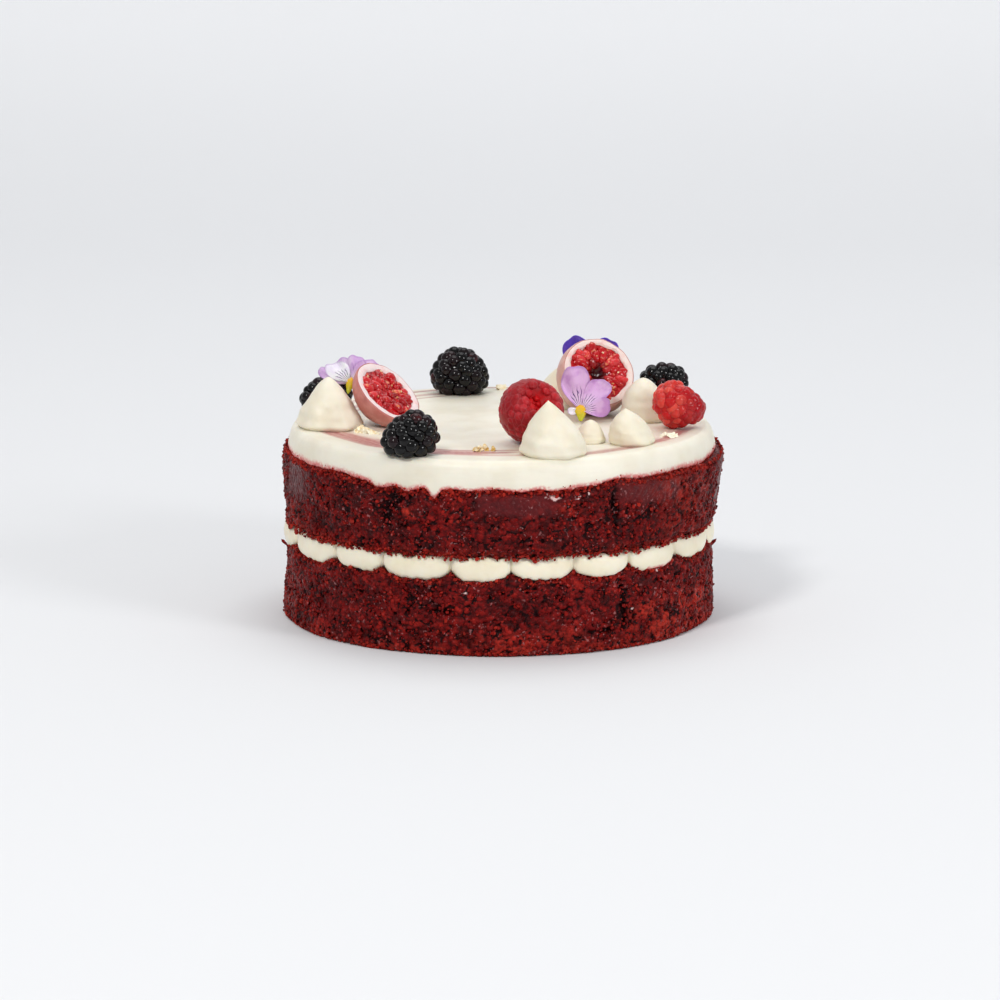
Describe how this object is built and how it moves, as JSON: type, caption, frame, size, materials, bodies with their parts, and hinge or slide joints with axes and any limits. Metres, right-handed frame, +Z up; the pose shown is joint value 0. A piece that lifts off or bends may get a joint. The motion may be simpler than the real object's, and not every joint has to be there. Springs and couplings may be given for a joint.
{
  "type": "red velvet cake",
  "caption": "Round layer cake of dark red sponge with a piped cream filling, cream frosting, piped dollops, berries, fig halves and edible flowers on top.",
  "frame": {"origin": "middle of the cake's round foot, at the level it stands on", "axes": "+Z up, -Y towards the side that the picture shows, +X to the viewer's right"},
  "size_m": [0.1617, 0.1608, 0.0988],
  "materials": {
    "red_crumb": "dark red open sponge crumb, moist in places",
    "filling_cream": "piped cream, satin",
    "frosting_cream": "smoothed cream frosting with faint pink strokes and scraps of gold leaf",
    "piped_cream": "smooth piped cream, satin",
    "dark_berry": "glossy near-black drupelets",
    "raspberry": "velvety red drupelets",
    "fig": "thin pink skin, pale rim and wet red pulp",
    "petal_lilac": "soft lilac petal with dark veins and a yellow eye",
    "petal_violet": "soft violet-blue petal"
  },
  "bodies": {
    "root": {"sponge_bottom": "red_crumb", "filling": "filling_cream", "sponge_top": "red_crumb", "frosting": "frosting_cream", "cream_dollop_left": "piped_cream", "cream_dollop_front": "piped_cream", "cream_dollop_small": "piped_cream", "cream_dollop_right": "piped_cream", "cream_dollop_back": "piped_cream", "cream_dollop_rear": "piped_cream", "dark_berry_back": "dark_berry", "dark_berry_front": "dark_berry", "dark_berry_right": "dark_berry", "dark_berry_left": "dark_berry", "raspberry_whole": "raspberry", "raspberry_torn": "raspberry", "fig_half_left": "fig", "fig_half_right": "fig", "viola_front": "petal_lilac", "viola_back": "petal_violet", "viola_left": "petal_lilac"}
  },
  "joints": []
}
